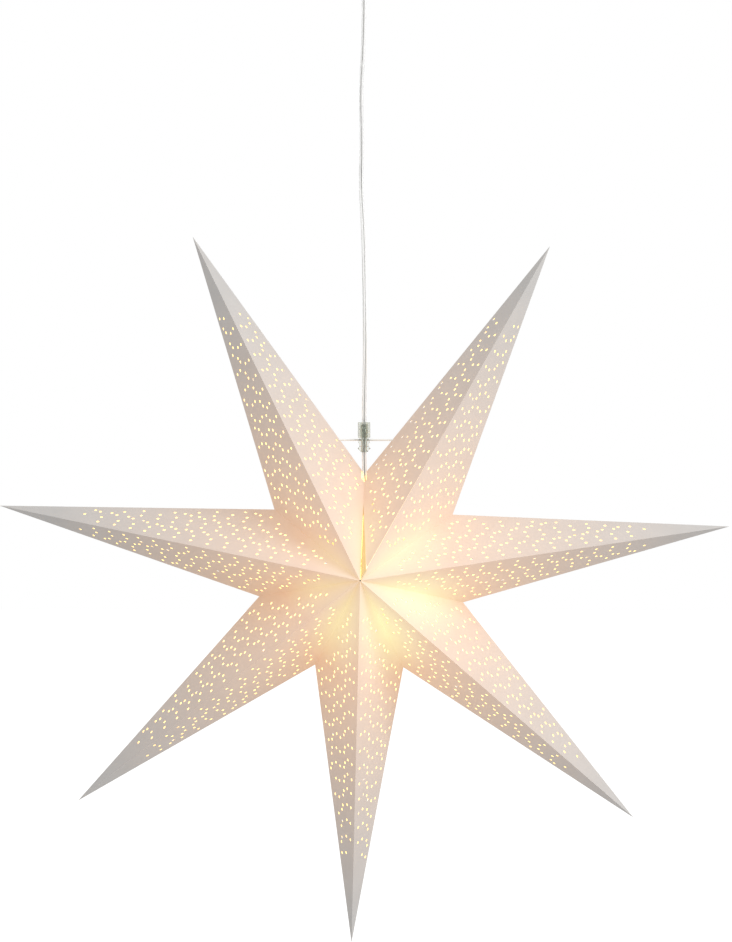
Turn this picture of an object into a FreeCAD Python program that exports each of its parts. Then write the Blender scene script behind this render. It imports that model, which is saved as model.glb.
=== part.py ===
"""A folded card star lamp: seven hollow points on a rod, hung on a flat flex under a ceiling cup.

Millimetres, +Z up, the star faces -Y. The origin is on the ceiling, where the strap is screwed.
"""
import FreeCAD, Part
import math
import os

from FreeCAD import Vector

# The star: seven hollow points, glued side to side and closed by the seam at the top
STAR_R = 500.0  # middle to tip
VALLEY_R = 144.0  # middle to the valley between two glued points
CLOSING_VALLEY_R = 130.0  # the same at the closing seam
HALF_DEPTH = 150.0  # star plane to the front and to the back middle
POINT_NAMES = (  # clockwise from the closing seam
    "point_upper_right",
    "point_right",
    "point_lower_right",
    "point_bottom",
    "point_lower_left",
    "point_left",
    "point_upper_left",
)
TIP_REACH = (5.0, 0.0, 0.0, 10.0, 0.0, 0.0, 5.0)  # how far each tip reaches beyond STAR_R
POINTS = len(POINT_NAMES)
CLOSING_OPENING = 57.0  # degrees that each of the two points at the closing seam stands open
STAR_ROLL = 1.6  # degrees that the star hangs turned, clockwise
CARD = 0.5  # thickness of the card
FLANGE = 14.0  # width of the glue flanges along each seam
MIDDLE_HOLE_R = 2.5  # left open where all folds meet
SLIT = 16.0  # how far one closing edge stops short of the middle
STAR_DROP = 865.0  # ceiling to the star's middle
STAR_SIDE = -3.0  # the star's middle from the plumb line
STAR_TILT = 3.0  # degrees that the star can rock on its rod, each way

# The flat flex
FLEX_W = 6.0
FLEX_T = 3.4
FLEX_FIT = 0.25  # clearance round it where it is guided
CUP_H = 62.0  # the ceiling cup, down to its nose
COLLAR_H = 18.0  # the part of the cup's collar below the nose
PIVOT_RISE = 5.9  # the collar's mouth up to the point where the flex starts to swing
PIVOT_DROP = CUP_H + COLLAR_H - PIVOT_RISE
ROUTE = (  # turning points of the free flex, millimetres, from the collar to the lampholder
    (0.0, 0.0, -PIVOT_DROP),
    (0.0, 0.0, -150.0),
    (-4.5, 1.0, -222.0),
    (-2.5, -0.8, -285.0),
    (-4.5, 0.8, -346.0),
    (-0.8, -0.6, -410.0),
    (0.2, 0.7, -490.0),
    (1.6, -0.4, -573.0),
    (0.0, 0.0, -641.0),
    (0.0, 0.0, -753.0),
    (10.5, -6.5, -773.0),
    (18.0, -12.0, -791.0),
    (18.0, -12.0, -810.0),
)

# The rod that carries the star, and the clear grip that holds it on the flex
ROD_R = 1.25
ROD_LENGTH = 136.0
ROD_RISE = 176.0  # above the star's middle
ROD_BEHIND = 3.8  # behind the flex
WAY_FRONT = 1.5  # extra room in the seam before the flex
WAY_LOW_FRONT = 5.2  # the same further down, where the flex bends forwards to the lamp
WAY_DEPTH = 38.0  # closing valley to the way's lower end
ROD_FIT = 0.2
GRIP_SLOT = (FLEX_W + 2 * FLEX_FIT, FLEX_T + 2 * FLEX_FIT)
GRIP_CORE_R = 6.5
GRIP_COLLAR_R = 8.0
GRIP_COLLAR_H = 2.7
GRIP_COLLAR_DROP = 1.6  # rod axis to the collar's top
GRIP_NECK_H = 3.8
BARB_R = 8.7
BARB_RISE_H = 3.6
BARB_TIP_R = 4.9
BARB_TIP_H = 4.7
FOOT_SPLIT = 1.4
NUT_R = 7.8
NUT_BORE_R = 5.8
NUT_H = 21.0
NUT_CLEAR = 3.0  # rod axis to the nut's lower face
NUT_RIBS = 18
NUT_RIB_R = 0.5
SHANK_R = 5.6
SHANK_SHORT = 3.0  # the shank ends this far under the nut's top

# The ceiling fitting
STRAP_L = 88.0
STRAP_W = 16.0
STRAP_T = 1.5
SLOT_SPACING = 60.0
SLOT_R = 2.25
SLOT_LENGTH = 12.0
STIRRUP_W = 34.0
STIRRUP_DROP = 44.0
CUP_R = 52.0
CUP_SHOULDER_R = 46.0
CUP_SHOULDER_DROP = 44.0
CUP_NOSE_R = 17.0
CUP_ROUND = 6.0
CUP_WALL = 2.0
COLLAR_BORE_R = 3.6
COLLAR_STEM_R = 5.0
COLLAR_BODY_R = 7.0
COLLAR_FLANGE_R = 10.0
COLLAR_FLANGE_T = 2.0
COLLAR_STEM_H = 9.0
COLLAR_STEM_FIT = 0.2
COLLAR_MOUTH_R = 5.2
COLLAR_FLARE_H = 6.0
COLLAR_NUT_R = 9.0  # middle to the rounded corners
COLLAR_NUT_FLAT = 8.1  # middle to a flat
COLLAR_NUT_H = 5.0
LOCK_SCREW_R = 2.0
LOCK_HEAD_R = 4.5
LOCK_HEAD_T = 5.0
LOCK_HEAD_ROUND = 0.6
BLOCK = (18.0, 22.0, 15.0)
SLEEVE_WAY_R = 2.6
SLEEVE_WAY_TOP = 2.0  # left closed above each terminal sleeve
SLEEVE_INSET = 0.5
SLEEVE_BORE_R = 1.3
SLEEVE_END = 1.0
CLAMP_R = 11.0
CLAMP_H = 8.0
SMALL_SCREW_R = 1.5
SMALL_SCREW_REACH = 2.0  # below what it holds
SMALL_HEAD_R = 2.4
SMALL_HEAD_T = 1.8
SMALL_SLOT_W = 0.8
SMALL_SLOT_DEPTH = 0.8
CORE_R = 1.0
CORE_RISE = 4.0  # the sheath's end above the clamp, and the cores' straight ends
SNUG = 0.1  # clearance round screws and between pieces that nearly touch

# The lampholder, from its neck down, and the bulb in it
HOLDER_X, HOLDER_Y = ROUTE[-1][:2]
HOLDER_REACH = 13.0  # how far the flex goes into the neck
HOLDER_DROP = -ROUTE[-1][2] - HOLDER_REACH  # ceiling to the top of the neck
NECK_R = 6.5
NECK_H = 7.0
NECK_SCREW_R = 1.25
CAP_R = 13.5
CAP_H = 22.0
CAP_ROUND = 3.0
CAP_SHOULDER = 7.0
HOLDER_WALL = 1.6
SPIGOT_STEP = 0.6
SPIGOT_FIT = 0.3
SLEEVE_R = 14.2
SLEEVE_H = 34.0
SPIGOT_H = 5.0
SLEEVE_LIP = 2.0
SLEEVE_LIP_H = 3.0
SLEEVE_ROUND = 1.0
INSERT_H = 5.0
INSERT_HUB_H = 5.0
INSERT_BORE_R = 1.3
INSERT_BORE_X = 4.0
CONTACT_W = 3.0
CONTACT_T = 0.4
CONTACT_LEFT = 2.0
CONTACT_TONGUE = 5.0
CONTACT_SPRING = 1.5
CONTACT_DROP = 1.6
SHELL_R = 8.2
SHELL_T = 0.4
SHELL_H = 17.0
BULB_SCREW_R = 6.9
BULB_SCREW_H = 17.0
BULB_TIP = ((2.2, 0.0), (2.6, 1.0), (4.2, 2.2), (BULB_SCREW_R, 3.4))  # radius, distance from the tip
BULB_STEP = 0.8
BULB_FLARE_H = 4.0
BULB_RIM_H = 3.0
BULB_RIM = 1.5
GLOBE_SEAT = 0.5  # the globe's edge inside the collar's rim
BULB_COLLAR_R = 17.0
BULB_COLLAR_H = 16.0
GLOBE_R = 22.5
GLOBE_T = 1.0

STAR = Vector(STAR_SIDE, ROD_BEHIND, -STAR_DROP)
ROD_Z = -STAR_DROP + ROD_RISE
UP = Vector(0, 0, 1)


def save(shape, node):
    """Writes one node, checked to be sound."""
    if not shape.isValid() or shape.Volume <= 0:
        raise ValueError("unsound solid: " + node)
    shape.exportStep("parts/" + node + ".step")


def cylinder(r, z0, z1, x=0.0, y=0.0):
    """An upright cylinder between two heights."""
    return Part.makeCylinder(r, z1 - z0, Vector(x, y, z0))


def revolved(points, x=0.0, y=0.0):
    """A solid of revolution about an upright axis. A point is (radius, z)."""
    corners = [Vector(x + r, y, z) for r, z in points]
    face = Part.Face(Part.makePolygon(corners + corners[:1]))
    return face.revolve(Vector(x, y, 0), UP, 360)


def box(x0, x1, y0, y1, z0, z1):
    """A box between two corners."""
    return Part.makeBox(x1 - x0, y1 - y0, z1 - z0, Vector(x0, y0, z0))


def stadium(width, thickness, z, x=0.0, y=0.0):
    """The wire of a flat section with half-round ends, level at height z."""
    r = thickness / 2
    s = width / 2 - r
    a, b = Vector(x - s, y - r, z), Vector(x + s, y - r, z)
    c, d = Vector(x + s, y + r, z), Vector(x - s, y + r, z)
    edges = [
        Part.LineSegment(a, b).toShape(),
        Part.Arc(b, Vector(x + s + r, y, z), c).toShape(),
        Part.LineSegment(c, d).toShape(),
        Part.Arc(d, Vector(x - s - r, y, z), a).toShape(),
    ]
    return Part.Wire(edges)


def flat_bar(width, thickness, z0, z1):
    """An upright flat bar with half-round edges on the plumb line."""
    return Part.Face(stadium(width, thickness, z0)).extrude(Vector(0, 0, z1 - z0))


# --- the star ---


def star_corner(angle, radius, y=0.0):
    """A corner of the star, its angle clockwise from straight up in degrees."""
    a = math.radians(angle)
    return STAR + Vector(radius * math.sin(a), y, radius * math.cos(a))


def triangle(a, b, c):
    """A flat three-cornered face."""
    return Part.Face(Part.makePolygon([a, b, c, a]))


def sheet(corners, inside):
    """A triangle of card: one face, thickened towards a point inside."""
    face = triangle(*corners)
    normal = (corners[1] - corners[0]).cross(corners[2] - corners[0]).normalize()
    if normal.dot(inside - corners[0]) < 0:
        normal = -normal
    return face.extrude(normal * CARD)


def seam_window(angle, valley_r):
    """Cuts the open middle of a seam wall, leaving the flanges along the two folds."""
    fold = math.hypot(valley_r, HALF_DEPTH)
    inner_r = valley_r - FLANGE * fold / HALF_DEPTH
    inner_y = HALF_DEPTH * inner_r / valley_r
    across = Vector(math.cos(math.radians(angle)), 0, -math.sin(math.radians(angle)))
    corners = (
        star_corner(angle, inner_r),
        star_corner(angle, 0.0, -inner_y),
        star_corner(angle, 0.0, inner_y),
    )
    deep = across * (4 * CARD)
    return triangle(*(c - deep / 2 for c in corners)).extrude(deep)


def star_point(left, right, tip_r, short=0.0):
    """One hollow point between two seams, each (angle, valley radius).

    It has four facets, folded at two ridges and two side edges, and a wall with a window at each
    seam. With short, its left edge stops that far from the middle, along the ridge.
    """
    middle_angle = (left[0] + right[0]) / 2
    tip = star_corner(middle_angle, tip_r)
    a, b = star_corner(*left), star_corner(*right)
    front, back = star_corner(0, 0, -HALF_DEPTH), star_corner(0, 0, HALF_DEPTH)
    facets = [(tip, a, front), (tip, front, b), (tip, b, back), (tip, back, a)]
    walls = [(a, back, front), (b, front, back)]
    solid = Part.Solid(Part.Shell([triangle(*f) for f in facets + walls]))
    hull = solid if solid.Volume > 0 else solid.reversed()
    inside = hull.CenterOfMass
    if short:
        share = short / (tip - front).Length
        end_front, end_back = front + (tip - front) * share, back + (tip - back) * share
        walls[0] = (a, end_back, end_front)
        plan = [Vector(v.x, STAR.y - 2 * HALF_DEPTH, v.z) for v in (a, STAR, end_front)]
        hull = hull.cut(triangle(*plan).extrude(Vector(0, 4 * HALF_DEPTH, 0)))
    sheets = [sheet(f, inside).common(hull) for f in facets + walls]
    card = sheets[0].multiFuse(sheets[1:]).removeSplitter()
    for angle, valley_r in (left, right):
        card = card.cut(seam_window(angle, valley_r))
    if short:
        card = card.cut(short_window(a, end_front, end_back))
    middle = Part.makeCylinder(
        MIDDLE_HOLE_R, 4 * HALF_DEPTH, STAR - Vector(0, 2 * HALF_DEPTH, 0), Vector(0, 1, 0)
    )
    return card.cut(middle)


def short_window(valley, end_front, end_back):
    """The open middle of the closing wall that stops short of the middle."""
    middle = (end_front + end_back) / 2
    inward = middle - valley
    reach = inward.Length
    half = (end_front - middle).Length
    share = 1 - FLANGE * math.hypot(reach, half) / (half * reach)
    across = inward.cross(Vector(0, 1, 0)).normalize() * (4 * CARD)
    corners = [middle + (c - middle) * share for c in (valley, end_front, end_back)]
    return triangle(*(c - across / 2 for c in corners)).extrude(across)


def seams():
    """The seams as (angle, valley radius), clockwise from the closing seam round to it again."""
    rest = (360.0 - 2 * CLOSING_OPENING) / (POINTS - 2)
    openings = [CLOSING_OPENING] + [rest] * (POINTS - 2) + [CLOSING_OPENING]
    found = [(STAR_ROLL, CLOSING_VALLEY_R)]
    for opening in openings[:-1]:
        found.append((found[-1][0] + opening, VALLEY_R))
    return found + [(STAR_ROLL + 360.0, CLOSING_VALLEY_R)]


def flex_way():
    """The way that the flex needs through the closing seam while the star tilts."""
    sway = ROD_RISE - CLOSING_VALLEY_R + FLANGE
    half = FLEX_T / 2 + 2 * FLEX_FIT + sway * math.sin(math.radians(STAR_TILT))
    wide = FLEX_W / 2 + 3 * FLEX_FIT
    valley = STAR.z + CLOSING_VALLEY_R
    step = valley - FLANGE
    upper = box(-wide, wide, -half - WAY_FRONT, half, step, valley + FLANGE)
    lower = box(-wide, wide, -half - WAY_LOW_FRONT, half, valley - WAY_DEPTH, step)
    return upper.fuse(lower)


def rod_way():
    """The hole for the rod through the side edges of the two upper points."""
    start = Vector(-ROD_LENGTH / 2, ROD_BEHIND, ROD_Z)
    return Part.makeCylinder(ROD_R + ROD_FIT, ROD_LENGTH, start, Vector(1, 0, 0))


def build_star():
    """The seven points of card and the rod that carries them."""
    found = seams()
    ways = flex_way().fuse(rod_way())
    for i, name in enumerate(POINT_NAMES):
        short = SLIT if i == 0 else 0.0
        card = star_point(found[i], found[i + 1], STAR_R + TIP_REACH[i], short)
        if i in (0, POINTS - 1):
            card = card.cut(ways)
        save(card, name)
    rod = Part.makeCylinder(
        ROD_R, ROD_LENGTH, Vector(-ROD_LENGTH / 2, ROD_BEHIND, ROD_Z), Vector(1, 0, 0)
    )
    save(rod, "hanger_rod")


# --- the grip on the flex ---


def build_grip():
    """A clear moulding with a split, barbed foot, and a ribbed nut that tightens it."""
    collar_top = ROD_Z - GRIP_COLLAR_DROP
    collar_low = collar_top - GRIP_COLLAR_H
    neck_low = collar_low - GRIP_NECK_H
    barb = neck_low - BARB_RISE_H
    foot = barb - BARB_TIP_H
    nut_low = ROD_Z + NUT_CLEAR
    shank_top = nut_low + NUT_H - SHANK_SHORT
    outline = [
        (0, foot), (BARB_TIP_R, foot), (BARB_R, barb), (GRIP_CORE_R, neck_low),
        (GRIP_CORE_R, collar_low), (GRIP_COLLAR_R, collar_low), (GRIP_COLLAR_R, collar_top),
        (GRIP_CORE_R, collar_top), (GRIP_CORE_R, nut_low), (SHANK_R, nut_low),
        (SHANK_R, shank_top), (0, shank_top),
    ]
    body = revolved(outline)
    body = body.cut(flat_bar(*GRIP_SLOT, foot - 1, shank_top + 1))
    body = body.cut(rod_way())
    split = box(-FOOT_SPLIT / 2, FOOT_SPLIT / 2, -BARB_R, BARB_R, foot - 1, collar_low - 1)
    save(body.cut(split), "grip_body")
    nut = cylinder(NUT_R, nut_low, nut_low + NUT_H)
    ribs = []
    for i in range(NUT_RIBS):
        a = 2 * math.pi * i / NUT_RIBS
        ribs.append(
            cylinder(NUT_RIB_R, nut_low, nut_low + NUT_H, NUT_R * math.cos(a), NUT_R * math.sin(a))
        )
    nut = nut.multiFuse(ribs)
    save(nut.cut(cylinder(NUT_BORE_R, nut_low - 1, nut_low + NUT_H + 1)), "grip_nut")


# --- the flex ---


def rounded_path(points):
    """Straight runs joined by tangent arcs, and the arcs' radii."""
    edges, radii = [], []
    start = points[0]
    for before, corner, after in zip(points, points[1:], points[2:]):
        u, v = (before - corner).normalize(), (after - corner).normalize()
        half_turn = (math.pi - u.getAngle(v)) / 2
        cut = 0.45 * min((before - corner).Length, (after - corner).Length)
        radius = cut / math.tan(half_turn)
        radii.append(radius)
        first, last = corner + u * cut, corner + v * cut
        inward = (u + v).normalize()
        centre = corner + inward * (radius / math.cos(half_turn))
        edges.append(Part.LineSegment(start, first).toShape())
        edges.append(Part.Arc(first, centre - inward * radius, last).toShape())
        start = last
    edges.append(Part.LineSegment(start, points[-1]).toShape())
    return Part.Wire(edges), radii


def build_free_flex():
    """The free flex from the collar's mouth to inside the lampholder's neck."""
    path, radii = rounded_path([Vector(*p) for p in ROUTE])
    section = stadium(FLEX_W, FLEX_T, -PIVOT_DROP)
    tube = path.makePipeShell([section], True, False)
    print("flex radii", [round(r) for r in radii], "length", round(path.Length, 1))
    print("flex volume share", round(tube.Volume / (Part.Face(section).Area * path.Length), 4))
    stub = flat_bar(FLEX_W, FLEX_T, -PIVOT_DROP - 1.0, -PIVOT_DROP + FLEX_W)
    start = Vector(0, -FLEX_T, -PIVOT_DROP)
    dome = Part.makeCylinder(FLEX_W / 2, 2 * FLEX_T, start, Vector(0, 1, 0)).common(stub)
    dome = dome.cut(box(-FLEX_W, FLEX_W, -FLEX_T, FLEX_T, -PIVOT_DROP - FLEX_W, -PIVOT_DROP))
    save(tube.fuse(dome).removeSplitter(), "drop_flex")


# --- the ceiling fitting ---


def build_strap():
    """The steel strap on the ceiling, with a stirrup that carries the flex's clamp."""
    strap = box(-STRAP_L / 2, STRAP_L / 2, -STRAP_W / 2, STRAP_W / 2, -STRAP_T, 0)
    for side in (-1, 1):
        x = side * SLOT_SPACING / 2
        run = SLOT_LENGTH / 2 - SLOT_R
        for end in (-run, run):
            strap = strap.cut(cylinder(SLOT_R, -STRAP_T - 1, 1, x + end))
        strap = strap.cut(box(x - run, x + run, -SLOT_R, SLOT_R, -STRAP_T - 1, 1))
    half = STIRRUP_W / 2
    low = -STIRRUP_DROP
    stirrup = box(-half, half, -STRAP_W / 2, STRAP_W / 2, low - STRAP_T, -STRAP_T)
    inner = box(-half + STRAP_T, half - STRAP_T, -STRAP_W, STRAP_W, low, 0)
    stirrup = stirrup.cut(inner).cut(cylinder(FLEX_W / 2 + 1, low - STRAP_T - 1, low + 1))
    strap = strap.fuse(stirrup).removeSplitter()
    for x in clamp_screw_places():
        strap = strap.cut(cylinder(SMALL_SCREW_R + SNUG, low - STRAP_T - 1, low + 1, x))
    save(strap, "ceiling_strap")


def sideways(r, length, x, y, z):
    """A level cylinder that runs to the front from a place."""
    return Part.makeCylinder(r, length, Vector(x, y, z), Vector(0, -1, 0))


def clamp_screw_places():
    """Where the clamp's two screws stand along X."""
    x = (CLAMP_R + FLEX_W / 2) / 2
    return (-x, x)


def build_clamp():
    """The plastic clamp that carries the flex on the stirrup, and its two screws."""
    low = -STIRRUP_DROP
    clamp = cylinder(CLAMP_R, low, low + CLAMP_H)
    clamp = clamp.cut(box(-CLAMP_R, CLAMP_R, -CLAMP_R, -STRAP_W / 2, low - 1, low + CLAMP_H + 1))
    clamp = clamp.cut(box(-CLAMP_R, CLAMP_R, STRAP_W / 2, CLAMP_R, low - 1, low + CLAMP_H + 1))
    clamp = clamp.cut(flat_bar(FLEX_W, FLEX_T, low - 1, low + CLAMP_H + 1))
    screws = []
    for x in clamp_screw_places():
        clamp = clamp.cut(cylinder(SMALL_SCREW_R + SNUG, low - 1, low + CLAMP_H + 1, x))
        seat = low + CLAMP_H
        head_top = seat + SMALL_HEAD_T
        shank = cylinder(SMALL_SCREW_R, low - STRAP_T - SMALL_SCREW_REACH, seat, x)
        head = cylinder(SMALL_HEAD_R, seat, head_top, x)
        w = SMALL_SLOT_W / 2
        slot = box(x - SMALL_HEAD_R, x + SMALL_HEAD_R, -w, w, head_top - SMALL_SLOT_DEPTH, head_top + 1)
        screws.append(shank.fuse(head).removeSplitter().cut(slot))
    save(clamp, "flex_clamp")
    save(Part.makeCompound(screws), "clamp_screws")


def build_terminal():
    """A two-way terminal block under the strap, with its sleeves and screws."""
    w, d, h = BLOCK
    top = -STRAP_T
    block = box(-w / 2, w / 2, -d / 2, d / 2, top - h, top)
    sleeves, screws = [], []
    middle = top - h / 2
    closed = top - SLEEVE_WAY_TOP
    for x in (-w / 4, w / 4):
        block = block.cut(cylinder(SLEEVE_WAY_R, top - h - 1, closed, x))
        sleeve = cylinder(SLEEVE_WAY_R, top - h + SLEEVE_INSET, closed, x)
        sleeve = sleeve.cut(cylinder(SLEEVE_BORE_R, top - h - 1, closed - SLEEVE_END, x))
        hole = sideways(SMALL_SCREW_R + SNUG, d, x, 0, middle)
        block = block.cut(hole)
        sleeves.append(sleeve.cut(hole))
        reach = d / 2 - 2 * SMALL_SCREW_R
        screws.append(sideways(SMALL_SCREW_R, reach, x, -SMALL_SCREW_R - SNUG, middle))
    save(block, "terminal_block")
    save(Part.makeCompound(sleeves), "terminal_sleeves")
    save(Part.makeCompound(screws), "terminal_screws")


def build_ceiling_flex():
    """The flex inside the cup: its sheath up to the clamp, and its two cores to the terminals."""
    low = -(PIVOT_DROP - FLEX_W / 2 - SNUG)
    sheath_top = -STIRRUP_DROP + CLAMP_H + CORE_RISE
    save(flat_bar(FLEX_W, FLEX_T, low, sheath_top), "ceiling_flex")
    cores = []
    for side in (-1, 1):
        top = -STRAP_T - BLOCK[2] + CORE_RISE
        x0, x1 = side * FLEX_W / 4, side * BLOCK[0] / 4
        points = [
            Vector(x0, 0, sheath_top),
            Vector(x0, 0, sheath_top + CORE_RISE),
            Vector(x1, 0, top - 1.5 * CORE_RISE),
            Vector(x1, 0, top),
        ]
        path, _ = rounded_path(points)
        circle = Part.Wire(Part.makeCircle(CORE_R, points[0], UP))
        cores.append(path.makePipeShell([circle], True, False))
    save(Part.makeCompound(cores), "flex_cores")


def is_ring(edge, radius):
    """Is this edge a full circle of that radius?"""
    curve = edge.Curve
    return isinstance(curve, Part.Circle) and abs(curve.Radius - radius) < 1e-6


def build_cup():
    """The ceiling cup, its collar with a flared mouth, the collar's nut and its lock screw."""
    w = CUP_WALL
    outer = [
        (0, 0), (CUP_R, 0), (CUP_SHOULDER_R, -CUP_SHOULDER_DROP), (CUP_NOSE_R, -CUP_H), (0, -CUP_H)
    ]
    inner = [
        (0, 1), (CUP_R - w, 1), (CUP_R - w, 0), (CUP_SHOULDER_R - w, -CUP_SHOULDER_DROP + w),
        (CUP_NOSE_R - w, -CUP_H + w), (0, -CUP_H + w),
    ]
    cup = revolved(outer)
    shoulder = [e for e in cup.Edges if is_ring(e, CUP_SHOULDER_R) or is_ring(e, CUP_NOSE_R)]
    cup = cup.makeFillet(CUP_ROUND, shoulder)
    cup = cup.cut(revolved(inner))
    hole = cylinder(COLLAR_STEM_R + COLLAR_STEM_FIT, -CUP_H - 1, -CUP_H + w + 1)
    save(cup.cut(hole), "ceiling_cup")

    top, low = -CUP_H, -CUP_H - COLLAR_H
    stem_top = top + COLLAR_STEM_H
    outline = [
        (COLLAR_MOUTH_R, low), (COLLAR_BODY_R, low), (COLLAR_BODY_R, top - COLLAR_FLANGE_T),
        (COLLAR_FLANGE_R, top - COLLAR_FLANGE_T), (COLLAR_FLANGE_R, top), (COLLAR_STEM_R, top),
        (COLLAR_STEM_R, stem_top), (COLLAR_BORE_R, stem_top),
        (COLLAR_BORE_R, low + COLLAR_FLARE_H),
    ]
    collar = revolved(outline)
    screw_z = low + COLLAR_FLARE_H + LOCK_SCREW_R + 1.0
    side = Vector(1, 0, 0)
    hole = Part.makeCylinder(LOCK_SCREW_R + SNUG, 2 * COLLAR_BODY_R, Vector(0, 0, screw_z), side)
    save(collar.cut(hole), "cup_collar")

    nut = cylinder(COLLAR_NUT_R, top + w, top + w + COLLAR_NUT_H)
    r = COLLAR_NUT_R
    for i in range(6):
        flat = box(COLLAR_NUT_FLAT, 2 * r, -r, r, top, top + w + COLLAR_NUT_H + 1)
        nut = nut.cut(flat.rotated(Vector(0, 0, 0), UP, 60 * i))
    save(nut.cut(cylinder(COLLAR_STEM_R + SNUG, top, top + w + COLLAR_NUT_H + 1)), "collar_nut")

    tip = FLEX_W / 2 + SNUG
    head = COLLAR_BODY_R + 5 * SNUG
    shank = Part.makeCylinder(LOCK_SCREW_R, head - tip, Vector(tip, 0, screw_z), side)
    knob = Part.makeCylinder(LOCK_HEAD_R, LOCK_HEAD_T, Vector(head, 0, screw_z), side)
    knob = knob.makeChamfer(LOCK_HEAD_ROUND, [e for e in knob.Edges if e.Closed])
    save(shank.fuse(knob).removeSplitter(), "lock_screw")


# --- the lampholder and the bulb ---


def build_holder():
    """The lampholder: a domed cap with a neck, a sleeve, and the contacts on an insert."""
    x, y, t = HOLDER_X, HOLDER_Y, HOLDER_WALL
    top = -HOLDER_DROP
    dome, low = top - NECK_H, top - CAP_H
    spigot = low - SPIGOT_H
    inner = CAP_R - t
    ceiling = dome - CAP_ROUND
    cap = revolved(
        [
            (0, top), (NECK_R, top), (NECK_R, dome), (CAP_R - CAP_ROUND, ceiling),
            (CAP_R, dome - CAP_SHOULDER), (CAP_R, low), (inner + SPIGOT_STEP, low),
            (inner + SPIGOT_STEP, spigot), (inner - t, spigot),
            (inner - t, dome - CAP_SHOULDER - 1.0), (NECK_R - 1.0, ceiling), (0, ceiling),
        ],
        x, y,
    )
    bore = Part.Face(stadium(GRIP_SLOT[0], GRIP_SLOT[1], ceiling - CAP_SHOULDER, x, y))
    cap = cap.cut(bore.extrude(Vector(0, 0, top - ceiling + CAP_SHOULDER + 1.0)))
    screw_z = top - NECK_H / 2
    save(cap.cut(sideways(NECK_SCREW_R + SNUG, NECK_R + 1, x, y, screw_z)), "holder_cap")
    seat = FLEX_T / 2 + SNUG
    save(sideways(NECK_SCREW_R, NECK_R - seat, x, y - seat, screw_z), "holder_grip_screw")
    build_sleeve(inner + SPIGOT_STEP + SPIGOT_FIT, low)
    return build_insert(inner - t, spigot, inner + SPIGOT_STEP)


def build_sleeve(bore_r, top):
    """The lampholder's sleeve, with an inner lip at its mouth."""
    low = top - SLEEVE_H
    lip = bore_r - SLEEVE_LIP
    outline = [
        (bore_r, top), (SLEEVE_R, top), (SLEEVE_R, low + 2 * SLEEVE_ROUND),
        (SLEEVE_R - SLEEVE_ROUND, low), (lip, low), (lip, low + SLEEVE_LIP_H),
        (bore_r, low + SLEEVE_LIP_H + SLEEVE_LIP),
    ]
    save(revolved(outline, HOLDER_X, HOLDER_Y), "holder_sleeve")


def build_insert(cap_bore_r, spigot, spigot_r):
    """The insert in the cap with the screw shell and the centre contact under it."""
    x, y = HOLDER_X, HOLDER_Y
    top = spigot - SNUG
    low = top - INSERT_H
    insert = cylinder(spigot_r + SNUG, low, top, x, y)
    insert = insert.fuse(cylinder(cap_bore_r - SPIGOT_FIT, top, top + INSERT_HUB_H, x, y))
    for side in (-INSERT_BORE_X, INSERT_BORE_X):
        insert = insert.cut(cylinder(INSERT_BORE_R, top + 1, top + INSERT_HUB_H + 1, x + side, y))
    save(insert.removeSplitter(), "holder_insert")

    shell = cylinder(SHELL_R, low - SHELL_H, low, x, y)
    shell = shell.cut(cylinder(SHELL_R - SHELL_T, low - SHELL_H - 1, low + 1, x, y))
    save(shell, "screw_shell")
    y0, y1, t = y - CONTACT_W / 2, y + CONTACT_W / 2, CONTACT_T
    left = x - CONTACT_LEFT
    tongue = box(left, x + CONTACT_TONGUE, y0, y1, low - t, low)
    spring = box(left, x + CONTACT_SPRING, y0, y1, low - CONTACT_DROP, low - CONTACT_DROP + t)
    post = box(left, left + t, y0, y1, low - CONTACT_DROP, low)
    save(tongue.multiFuse([spring, post]).removeSplitter(), "centre_contact")
    return low - CONTACT_DROP - SNUG


def build_bulb(contact_z):
    """A small globe bulb: its screw cap, the white collar and the opal globe."""
    x, y = HOLDER_X, HOLDER_Y
    low = contact_z - BULB_SCREW_H
    tip = [(r, contact_z - drop) for r, drop in BULB_TIP]
    screw = revolved([(0, contact_z), *tip, (BULB_SCREW_R, low), (0, low)], x, y)
    save(screw, "bulb_screw_cap")
    collar_low = low - BULB_COLLAR_H
    collar = revolved(
        [
            (0, low), (BULB_SCREW_R + BULB_STEP, low),
            (BULB_SCREW_R + 2 * BULB_STEP, low - BULB_FLARE_H),
            (BULB_COLLAR_R - BULB_RIM, collar_low + BULB_RIM_H), (BULB_COLLAR_R, collar_low),
            (0, collar_low),
        ],
        x, y,
    )
    save(collar, "bulb_collar")
    rise = math.sqrt(GLOBE_R**2 - (BULB_COLLAR_R - GLOBE_SEAT) ** 2)
    centre = Vector(x, y, collar_low - rise)
    reach = 2 * GLOBE_R
    below = box(x - reach, x + reach, y - reach, y + reach, centre.z - reach, collar_low)
    globe = Part.makeSphere(GLOBE_R, centre).cut(Part.makeSphere(GLOBE_R - GLOBE_T, centre))
    save(globe.common(below), "bulb_globe")
    print("globe middle", round(centre.z, 1), "above the star's middle", round(centre.z - STAR.z, 1))


def main():
    """Writes every node."""
    os.makedirs("parts", exist_ok=True)
    build_star()
    build_grip()
    build_free_flex()
    build_strap()
    build_clamp()
    build_terminal()
    build_ceiling_flex()
    build_cup()
    build_bulb(build_holder())


main()
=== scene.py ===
# %% [markdown]
# # A folded card star lamp on a flat flex
# This lesson dresses a hanging star of seven hollow card points. The construction model already
# holds every rigid piece at its place, so the first step loads it and keeps its box. Every later
# piece is made in metres in that same frame.

# %% Load the frame
import math
import random

import bmesh
import bpy
from mathutils import Matrix, Vector


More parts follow.
